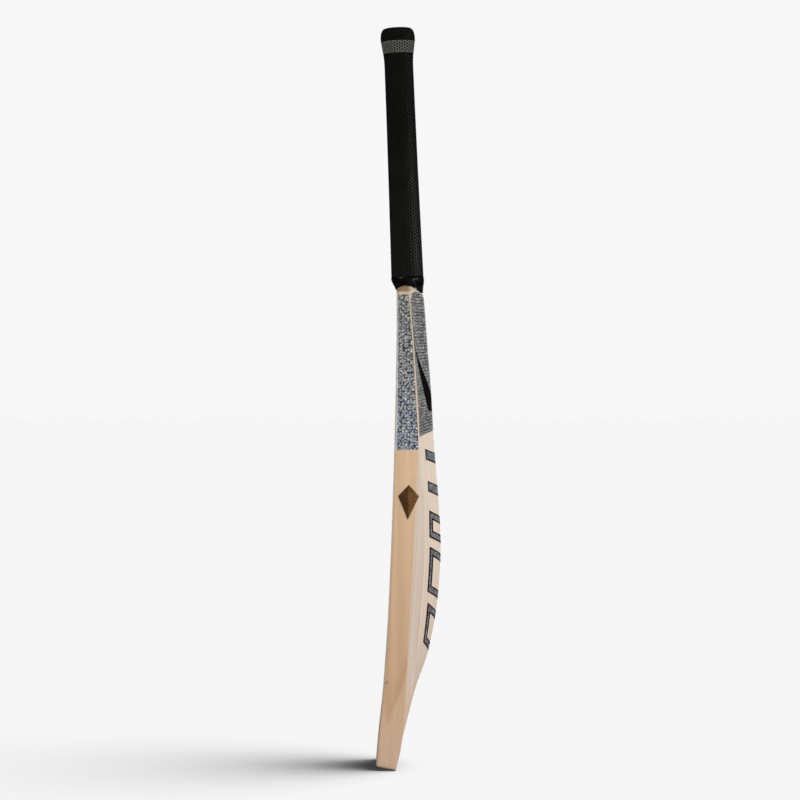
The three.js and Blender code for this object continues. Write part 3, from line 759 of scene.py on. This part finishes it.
class Look:
    """A node material with a principled shader, and short ways to add the nodes that the looks share."""

    def __init__(self, name, roughness=0.5, **settings):
        self.material = bpy.data.materials.new(name)
        self.material.use_nodes = True
        self.tree = self.material.node_tree
        self.shader = self.tree.nodes["Principled BSDF"]
        self.shader.inputs["Roughness"].default_value = roughness
        for words, value in settings.items():
            self.shader.inputs[words.replace("_", " ")].default_value = value
        self.coords = self.tree.nodes.new("ShaderNodeTexCoord").outputs["Object"]

    def node(self, kind, inputs=(), **settings):
        made = self.tree.nodes.new(kind)
        for key, value in settings.items():
            setattr(made, key, value)
        for key, value in dict(inputs).items():
            socket = made.inputs[key]
            if isinstance(value, bpy.types.NodeSocket):
                self.tree.links.new(value, socket)
            elif socket.type == "RGBA":
                socket.default_value = (*value, 1)
            else:
                socket.default_value = value
        return made

    def math(self, operation, a, b=0.0, c=0.0):
        return self.node("ShaderNodeMath", {0: a, 1: b, 2: c}, operation=operation).outputs[0]

    def times(self, a, b):
        return self.math("MULTIPLY", a, b)

    def times_add(self, a, b, c):
        return self.math("MULTIPLY_ADD", a, b, c)

    def part(self, axis):
        return self.node("ShaderNodeSeparateXYZ", {0: self.coords}).outputs[axis]

    def flat_place(self, across, up):
        return self.node("ShaderNodeCombineXYZ", {"X": across, "Y": up}).outputs[0]

    def stretched(self, x, y, z):
        """Object coordinates scaled apart along each axis, for grain."""
        return self.node("ShaderNodeMapping", {"Vector": self.coords, "Scale": (x, y, z)}).outputs[0]

    def noise(self, vector, scale=1.0, detail=3.0, roughness=0.5):
        inputs = {"Vector": vector, "Scale": scale, "Detail": detail, "Roughness": roughness}
        return self.node("ShaderNodeTexNoise", inputs).outputs["Fac"]

    def ramp(self, value, stops):
        """A value through a colour ramp of (place, colour) stops."""
        made = self.node("ShaderNodeValToRGB", {"Fac": value})
        elements = made.color_ramp.elements
        while len(elements) < len(stops):
            elements.new(0.5)
        for element, (at, colour) in zip(elements, stops):
            element.position = at
            element.color = (*colour, 1)
        return made.outputs["Color"]

    def window(self, value, low, high, low_to=0.0, high_to=1.0):
        """A smooth change from low_to to high_to while the value goes from low to high."""
        inputs = {"Value": value, "From Min": low, "From Max": high, "To Min": low_to, "To Max": high_to}
        return self.node("ShaderNodeMapRange", inputs, interpolation_type="SMOOTHSTEP").outputs["Result"]

    def blend(self, share, a, b, kind="MIX"):
        inputs = {0: share, 6: a, 7: b}
        return self.node("ShaderNodeMix", inputs, data_type="RGBA", blend_type=kind).outputs[2]

    def layered(self, base, layers, kind="MIX"):
        """A colour under (share, colour) layers, laid on in turn."""
        for share, colour in layers:
            base = self.blend(share, base, colour, kind)
        return base

    def finished(self, colour, roughness, height, distance, strength=1.0):
        """Connects the colour, the roughness and a bump, and gives back the material."""
        inputs = {"Height": height, "Distance": distance, "Strength": strength}
        normal = self.node("ShaderNodeBump", inputs).outputs["Normal"]
        for name, socket in (("Base Color", colour), ("Roughness", roughness), ("Normal", normal)):
            self.tree.links.new(socket, self.shader.inputs[name])
        return self.material


def willow_rings(look, x, y, z):
    """Growth rings, straight on the face and flames on the edges: their shade and their dark late wood."""
    away = look.math("SUBTRACT", x, look.window(z, *FLAME_LINE))
    bent = look.math("SQRT", look.times_add(away, away, FLAME_TIP ** 2))
    bend = look.times(look.math("SUBTRACT", bent, FLAME_TIP), RING_BEND)
    toe = look.window(z, 0.0, RING_TAPER_FADES, 1.0, 0.0)
    drift = look.noise(look.stretched(14, 10, 2.2), detail=2)
    waver = look.noise(look.stretched(60, 60, 9), detail=2)
    depth = look.math("ADD", look.math("ADD", y, bend), look.times(toe, RING_TAPER))
    depth = look.times_add(drift, 0.0012, look.times_add(waver, 0.0004, depth))
    phase = look.math("FRACT", look.times(look.math("ADD", depth, RING_START), 1 / RING_SPACING))
    late = look.math("MAXIMUM", look.window(phase, 0.86, 0.985), look.window(phase, 0.0, 0.03, 1.0, 0.0))
    return look.window(phase, 0.25, 1.0), late


def willow_sides(look):
    """Where the wood looks sideways: the edges with their rounded front corners, and the bevel."""
    normal = look.node("ShaderNodeNewGeometry").outputs["Normal"]
    facing = look.node("ShaderNodeSeparateXYZ", {0: normal}).outputs
    sideways = look.math("ABSOLUTE", facing[1])
    rounded = look.times(look.window(sideways, 0.1, 0.35), look.math("LESS_THAN", facing[0], 0.0))
    on_edge = look.math("MAXIMUM", look.window(sideways, 0.86, 0.97), rounded)
    return on_edge, look.math("SUBTRACT", look.window(sideways, 0.62, 0.75), on_edge)


def willow_knot(look, x, z):
    """A small dark oval on each edge."""
    across, up = (
        look.times_add(place, 1 / size, -middle / size)
        for place, middle, size in zip((x, z), KNOT_PLACE, KNOT_SIZE)
    )
    distance = look.math("SQRT", look.math("ADD", look.times(across, across), look.times(up, up)))
    return look.window(distance, 0.4, 1.3, 0.7, 0.0)


def willow_look():
    """Pale willow, warmer on the edges, darker and pinker towards the toe, with painted shade under the hem
    that is lighter towards the back, a painted highlight.
    """
    look = Look("willow", roughness=0.5)
    x, y, z = (look.part(axis) for axis in "XYZ")
    shade, late = willow_rings(look, x, y, z)
    on_edge, on_bevel = willow_sides(look)
    fibre = look.noise(look.stretched(900, 900, 14), detail=4, roughness=0.6)
    streak = look.noise(look.stretched(190, 150, 2.2), detail=3)
    broad = look.times(look.noise(look.stretched(80, 60, 1.1)), 0.5)
    broad = look.times_add(streak, 0.5, broad)
    figure = look.noise(look.stretched(30, 30, 60), detail=2)
    flecks = look.window(look.noise(look.stretched(700, 700, 45), detail=1), 0.68, 0.78)
    pale = look.ramp(streak, [(0.3, (0.775, 0.66, 0.55)), (0.7, (0.835, 0.73, 0.62))])
    pale = look.layered(pale, [
        (look.window(z, 0.12, 0.38), (0.86, 0.86, 0.86)),
        # The bevel is painted darker than the flank, painted shade for that facet; it is darker still near
        # the top and a little darker low down.
        (on_bevel, (0.87, 0.88, 0.90)),
        (look.times(on_bevel, look.window(z, 0.38, 0.4)), (0.74, 0.68, 0.62)),
        (look.times(on_bevel, look.window(z, 0.17, 0.27, 1.0, 0.0)), (0.945, 0.945, 0.93)),
    ], kind="MULTIPLY")
    warm = look.ramp(broad, [(0.35, (0.635, 0.435, 0.258)), (0.65, (0.775, 0.57, 0.375))])
    warm_toe = look.window(z, 0.055, 0.105, 0.75, 0.0)
    ring_strength = look.window(on_edge, 0.0, 1.0, 0.75, 1.0)
    pink = look.window(z, 0.02, 0.11, 1.0, 0.0)
    base = look.layered(look.blend(look.math("MAXIMUM", on_edge, warm_toe), pale, warm), [
        (look.times(look.times(shade, 0.24), ring_strength), (0.60, 0.35, 0.17)),
        (look.times(look.times(late, 0.30), ring_strength), (0.44, 0.23, 0.10)),
        (look.window(figure, 0.4, 0.75, 0.0, 0.13), (0.62, 0.42, 0.26)),
        (look.times(willow_knot(look, x, z), on_edge), (0.42, 0.22, 0.10)),
        (look.times(flecks, 0.14), (0.40, 0.25, 0.13)),
        (look.window(fibre, 0.35, 0.7, 0.0, 0.12), (0.50, 0.34, 0.20)),
        (look.times(pink, 0.45), (0.66, 0.50, 0.385)),
    ])
    base = look.blend(look.window(z, 0.10, 0.42, 1.0, 0.0), base, (0.84, 0.79, 0.77), kind="MULTIPLY")
    # Painted shade on the shoulders just under the hem, thinner towards the back, where it leaves a painted
    # highlight.
    painted_shade_under_hem = look.times(look.window(z, 0.5495, 0.5528), look.window(x, -0.002, 0.0045, 0.88, 0.3))
    base = look.blend(painted_shade_under_hem, base, (0.19, 0.112, 0.06))
    grain = look.math("ADD", look.times(fibre, 0.6), look.times(late, -0.4))
    return look.finished(base, look.window(fibre, 0.3, 0.7, 0.45, 0.6), grain, 0.0001, 0.5)


def cane_look():
    look = Look("cane", roughness=0.55)
    fibre = look.noise(look.stretched(1500, 1500, 12), detail=3)
    streak = look.noise(look.stretched(260, 260, 4), detail=3)
    base = look.ramp(streak, [(0.3, (0.47, 0.31, 0.14)), (0.7, (0.66, 0.49, 0.27))])
    dots = look.window(fibre, 0.55, 0.7)
    base = look.blend(look.times(dots, 0.6), base, (0.20, 0.11, 0.04))
    return look.finished(base, look.window(streak, 0.3, 0.7, 0.48, 0.66), fibre, 0.00015, 0.7)


def plain_rubber_look():
    look = Look("spring_rubber", roughness=0.7)
    grain = look.noise(look.coords, scale=900, detail=3)
    base = look.ramp(grain, [(0.3, (0.010, 0.010, 0.011)), (0.7, (0.026, 0.026, 0.028))])
    return look.finished(base, look.window(grain, 0.3, 0.7, 0.6, 0.85), grain, 0.0001)


def twine_look():
    look = Look("twine", roughness=0.85)
    strands = look.math("SINE", look.times(look.part("Z"), 2 * pi / TWINE_PITCH))
    fuzz = look.noise(look.coords, scale=1800, detail=3)
    base = look.ramp(fuzz, [(0.3, (0.42, 0.36, 0.25)), (0.7, (0.66, 0.60, 0.46))])
    # Painted shade in the grooves between the turns of twine.
    base = look.blend(look.window(strands, -1.0, -0.3, 0.7, 0.0), base, (0.16, 0.12, 0.07))
    roughness = look.window(fuzz, 0.3, 0.7, 0.78, 0.95)
    return look.finished(base, roughness, look.math("ADD", strands, fuzz), 0.0003)


def grip_look(name, dark, light, roughness, gloss):
    """Moulded rubber, shinier lower down and painted lighter there, painted light."""
    look = Look(name, roughness=roughness, Specular_IOR_Level=gloss)
    grain = look.noise(look.coords, scale=2600, detail=3)
    cloud = look.noise(look.coords, scale=45, detail=3)
    height = look.part("Z")
    painted_light_rubber = tuple(PAINTED_LIGHT_TONE * value for value in light)
    rubber_tone = look.ramp(cloud, [(0.3, dark), (0.7, light)])
    # Lower down the rubber colour is painted lighter: painted light.
    base = look.blend(look.window(height, *SHINE_AND_PAINTED_LIGHT_HEIGHTS, PAINTED_LIGHT_SHARE, 0.0), rubber_tone, painted_light_rubber)
    shine = look.window(height, *SHINE_AND_PAINTED_LIGHT_HEIGHTS, gloss * LOWER_SHINE, gloss * UPPER_SHINE)
    look.tree.links.new(shine, look.shader.inputs["Specular IOR Level"])
    clouded = look.window(cloud, 0.3, 0.7, roughness - 0.06, roughness + 0.08)
    return look.finished(base, clouded, grain, 0.00006, 0.8)


def hem_look():
    look = Look("hem_tape", roughness=0.16, Specular_IOR_Level=0.14)
    smudge = look.noise(look.coords, scale=120, detail=4)
    base = look.ramp(smudge, [(0.35, (0.0012, 0.0012, 0.0012)), (0.7, (0.0028, 0.0028, 0.0028))])
    ripples = look.noise(look.coords, scale=300, detail=3)
    return look.finished(base, look.window(smudge, 0.35, 0.7, 0.16, 0.28), ripples, 0.00012, 0.5)


def cells(look, across, up, size, randomness):
    """Random flat cells over two coordinates: the distance from a cell's middle, and its random tints."""
    spot = look.flat_place(look.times(across, 1 / size), look.times(up, 1 / size))
    inputs = {"Vector": spot, "Scale": 1.0, "Randomness": randomness}
    made = look.node("ShaderNodeTexVoronoi", inputs, voronoi_dimensions="2D", distance="CHEBYCHEV")
    split = look.node("ShaderNodeSeparateColor", {0: made.outputs["Color"]})
    return made.outputs["Distance"], split.outputs


def chance(look, across, up, size):
    """White noise in square cells."""
    spot = look.flat_place(*(look.math("FLOOR", look.times(value, 1 / size)) for value in (across, up)))
    return look.node("ShaderNodeTexWhiteNoise", {"Vector": spot}, noise_dimensions="2D").outputs["Value"]


def silver_look():
    """Glossy silver vinyl: grey cells between broken dark lines, with fine specks, bluer lower down."""
    look = Look("silver_vinyl", roughness=0.3, Coat_Weight=0.8, Coat_Roughness=0.06)
    x, y, z = (look.part(axis) for axis in "XYZ")
    across = look.math("ADD", x, look.math("ABSOLUTE", y))
    distance, tints = cells(look, across, z, SILVER_CELL, 0.65)
    specks = chance(look, across, z, 0.00115)
    breaks = look.noise(look.flat_place(across, z), scale=520, detail=1)
    lines = look.times(look.window(distance, 0.35, 0.41), look.window(breaks, 0.38, 0.43))
    value = look.times_add(specks, 0.68, look.times(tints[0], 0.32))
    grey = look.ramp(value, [
        (0.05, (0.13, 0.13, 0.125)), (0.45, (0.27, 0.27, 0.25)),
        (0.75, (0.41, 0.405, 0.37)), (0.95, (0.78, 0.78, 0.72)),
    ])
    blue = look.ramp(value, [
        (0.05, (0.10, 0.14, 0.28)), (0.45, (0.23, 0.31, 0.49)),
        (0.75, (0.43, 0.52, 0.64)), (0.95, (0.80, 0.92, 0.98)),
    ])
    lower = look.window(z, 0.36, 0.47, 0.95, 0.22)
    patches = look.window(look.noise(look.coords, scale=330, detail=2), 0.42, 0.58)
    base = look.blend(look.times(patches, lower), grey, blue)
    base = look.blend(look.times(lines, 0.93), base, (0.018, 0.018, 0.028))
    return look.finished(base, look.window(value, 0.0, 1.0, 0.22, 0.4), value, 0.00003, 0.4)


def weave_look():
    """Grey vinyl printed with rows of short dashes that rise towards the spine lower down."""
    look = Look("woven_vinyl", roughness=0.42, Coat_Weight=0.15, Coat_Roughness=0.2)
    away = look.math("ABSOLUTE", look.part("Y"))
    z = look.part("Z")
    rise = look.window(z, 0.385, 0.54, 0.12, 0.01)
    row = look.times(look.times_add(away, rise, z), 1 / WEAVE_ROW)
    row_number = look.math("FLOOR", row)
    column = look.times_add(away, 1 / WEAVE_DASH, look.times(row_number, 0.37))
    spot = look.flat_place(look.math("FLOOR", column), row_number)
    luck = look.node("ShaderNodeTexWhiteNoise", {"Vector": spot}, noise_dimensions="2D").outputs["Value"]
    dash = look.window(look.math("PINGPONG", look.math("FRACT", row), 0.5), 0.10, 0.24, 1.0, 0.0)
    from_end = look.math("PINGPONG", look.math("FRACT", column), 0.5)
    ends = look.window(from_end, 0.03, 0.12)
    tick = look.window(from_end, 0.05, 0.12, 0.35, 0.0)
    dark = look.times(look.times(dash, ends), look.window(luck, 0.1, 0.7, 0.25, 1.0))
    dark = look.math("MAXIMUM", dark, tick)
    specks = chance(look, look.times(away, 0.35), z, 0.0013)
    base = look.ramp(specks, [
        (0.0, (0.078, 0.078, 0.078)), (0.6, (0.203, 0.2, 0.198)), (1.0, (0.405, 0.4, 0.395)),
    ])
    base = look.blend(dark, base, (0.008, 0.007, 0.008))
    return look.finished(base, look.window(specks, 0.0, 1.0, 0.36, 0.5), dark, 0.00003, 0.5)


def mottled_look():
    """Grey vinyl, mottled in soft cells."""
    look = Look("mottled_vinyl", roughness=0.4, Coat_Weight=0.15, Coat_Roughness=0.2)
    x, y, z = (look.part(axis) for axis in "XYZ")
    across = look.math("ADD", x, look.times(y, 0.25))
    distance, tints = cells(look, across, z, MOTTLED_CELL, 0.9)
    cloud = look.noise(look.coords, scale=260, detail=3)
    specks = chance(look, x, z, 0.0012)
    value = look.times_add(specks, 0.35, look.times(tints[0], 0.3))
    value = look.times_add(cloud, 0.35, value)
    base = look.ramp(value, [
        (0.2, (0.085, 0.087, 0.10)), (0.5, (0.17, 0.17, 0.185)), (0.8, (0.33, 0.33, 0.33)),
    ])
    base = look.blend(look.window(distance, 0.36, 0.5, 0.0, 0.55), base, (0.04, 0.04, 0.05))
    return look.finished(base, look.window(cloud, 0.3, 0.7, 0.34, 0.5), cloud, 0.00004, 0.4)


def plain_vinyl_look(name, dark, light, roughness):
    look = Look(name, roughness=roughness, Specular_IOR_Level=0.1)
    cloud = look.noise(look.coords, scale=90, detail=4)
    clouded = look.window(cloud, 0.3, 0.7, roughness - 0.06, roughness + 0.08)
    pores = look.noise(look.coords, scale=1200, detail=2)
    return look.finished(look.ramp(cloud, [(0.3, dark), (0.7, light)]), clouded, pores, 0.00003, 0.5)


# ---- stage, light and camera

BACKGROUND = 0.93
AMBIENT = 0.04
AMBIENT_GLOSS = 0.02
FLOOR_ALBEDO = 0.90
FLOOR_HALF = 60  # metres
FLOOR_GAP = 0.0002  # metres below the toe
CAMERA_PLACE = (-9.9, -3200, 426.7)
CAMERA_LENS = 123.1


def studio_floor():
    """A plain pale plane just under the toe, unseen in reflections."""
    half = FLOOR_HALF
    paint = (FLOOR_ALBEDO, FLOOR_ALBEDO, FLOOR_ALBEDO, 1)
    look = Look("studio_floor", roughness=0.9, Specular_IOR_Level=0.0, Base_Color=paint)
    corners = [(-half, -half, 0), (half, -half, 0), (half, half, 0), (-half, half, 0)]
    mesh = bpy.data.meshes.new("studio_floor")
    mesh.from_pydata(corners, [], [(0, 1, 2, 3)])
    mesh.materials.append(look.material)
    floor = added("studio_floor", mesh)
    floor.location.z = -FLOOR_GAP
    floor.visible_glossy = False
    return floor


def light_group(name, obj, state):
    """For light linking: the object alone with the state INCLUDE, or all others with EXCLUDE."""
    group = bpy.data.collections.new(name)
    group.objects.link(obj)
    group.collection_objects[0].light_linking.link_state = state
    return group


def sun(name, direction, strength, spread_angle, receivers=None, blockers=None, reflected=True):
    """A soft distant light that stands in the given direction.

    It lights only the receivers, and only the blockers throw shadows in it. None is everything."""
    data = bpy.data.lights.new(name, "SUN")
    data.energy = strength
    data.angle = radians(spread_angle)
    lamp = added(name, data)
    lamp.rotation_euler = Vector(direction).to_track_quat("Z", "Y").to_euler()
    lamp.visible_glossy = reflected
    lamp.light_linking.receiver_collection = receivers
    lamp.light_linking.blocker_collection = blockers


def studio_world():
    """White on every side: bright for the camera, dim as light and dimmer still in reflections."""
    world = bpy.data.worlds.new("studio")
    scene.world = world
    world.use_nodes = True
    tree = world.node_tree
    tree.nodes.clear()
    paths = tree.nodes.new("ShaderNodeLightPath")
    shader = None
    for strength, ray in ((AMBIENT, None), (AMBIENT_GLOSS, "Is Glossy Ray"), (BACKGROUND, "Is Camera Ray")):
        background = tree.nodes.new("ShaderNodeBackground")
        background.inputs["Color"].default_value = (1, 1, 1, 1)
        background.inputs["Strength"].default_value = strength
        if ray is None:
            shader = background.outputs[0]
            continue
        mixed = tree.nodes.new("ShaderNodeMixShader")
        for i, socket in enumerate((paths.outputs[ray], shader, background.outputs[0])):
            tree.links.new(socket, mixed.inputs[i])
        shader = mixed.outputs[0]
    output = tree.nodes.new("ShaderNodeOutputWorld")
    tree.links.new(shader, output.inputs["Surface"])


def studio_camera():
    """Level, looking along +Y at the bat's edge."""
    data = bpy.data.cameras.new("camera")
    data.lens = CAMERA_LENS
    data.clip_end = 200
    camera = added("camera", data)
    camera.location = Vector(CAMERA_PLACE) * MM
    camera.rotation_euler = (pi / 2, 0, 0)
    scene.camera = camera


# ---- assembly

scene.view_settings.view_transform = "Standard"
floor = studio_floor()
studio_world()
studio_camera()
willow = willow_look()
black = plain_vinyl_look("black_vinyl", (0.0015, 0.0015, 0.0015), (0.003, 0.003, 0.003), 0.6)
mottled = mottled_look()
willow_blade(willow).visible_diffuse = False  # so the wood's colour doesn't spill onto the floor
back_panel(weave_look())
silver = silver_look()
# A plain lighter silver for the sticker's rounded corner: a painted highlight.
border = plain_vinyl_look("silver_painted_highlight", (0.36, 0.36, 0.355), (0.62, 0.62, 0.61), 0.25)
brown = plain_vinyl_look("brown_vinyl", (0.052, 0.021, 0.008), (0.082, 0.034, 0.013), 0.4)
# The same brown painted lighter: a painted highlight on the kite's rear half.
brown_painted_lighter = plain_vinyl_look("brown_vinyl_painted_lighter", (0.11, 0.048, 0.016), (0.17, 0.08, 0.028), 0.4)
for word, side in (("left", 1), ("right", -1)):
    edge_sticker(word, side, silver, border)
    edge_mark(word, side, brown, brown_painted_lighter)
    back_stripe(word, side, black)
for name in CHEVRONS:
    chevron(name, mottled, black)
grip_walls = grip_look("grip_rubber", (0.0055, 0.0055, 0.0047), (0.0075, 0.0075, 0.0065), 0.36, 0.36)
# The pits are painted darker than the walls: painted shade in the hollows.
grip_pits = grip_look("grip_rubber_pits", (0.0034, 0.0034, 0.0028), (0.005, 0.005, 0.0042), 0.6, 0.1)
rubber_grip(grip_walls, grip_pits)
band_walls = grip_look("band_rubber", (0.088, 0.086, 0.079), (0.131, 0.128, 0.118), 0.5, 0.4)
band_pits = grip_look("band_rubber_pits", (0.008, 0.008, 0.0075), (0.014, 0.014, 0.013), 0.6, 0.2)
honeycomb_band(band_walls, band_pits)
hem = taped_hem(hem_look())

no_floor = light_group("all_but_the_floor", floor, "EXCLUDE")
hem_only = light_group("hem_only", hem, "INCLUDE")
sun("key_light", (0.44, 0.03, 0.9), 3.42, 46, reflected=False)
sun("front_light", (-0.05, -1, 0.1), 1.04, 40, no_floor, no_floor, reflected=False)
sun("left_light", (-1, -0.2, 0.12), 0.85, 40, no_floor, no_floor, reflected=False)
sun("right_light", (1, -0.3, 0.15), 0.55, 20, no_floor, no_floor)
sun("back_light", (0.1, 1, 0.12), 0.6, 40, no_floor, no_floor)
sun("right_glint", (0.73, -0.68, -0.18), 0.9, 9, hem_only, no_floor)
sun("left_glint", (-0.72, -0.69, -0.2), 0.9, 9, hem_only, no_floor)

inner_looks = {"cane_strip": cane_look(), "rubber_spring": plain_rubber_look(), "twine_binding": twine_look()}
for node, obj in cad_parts.items():
    for start, material in inner_looks.items():
        if node.startswith(start):
            obj.data.materials.clear()
            obj.data.materials.append(material)
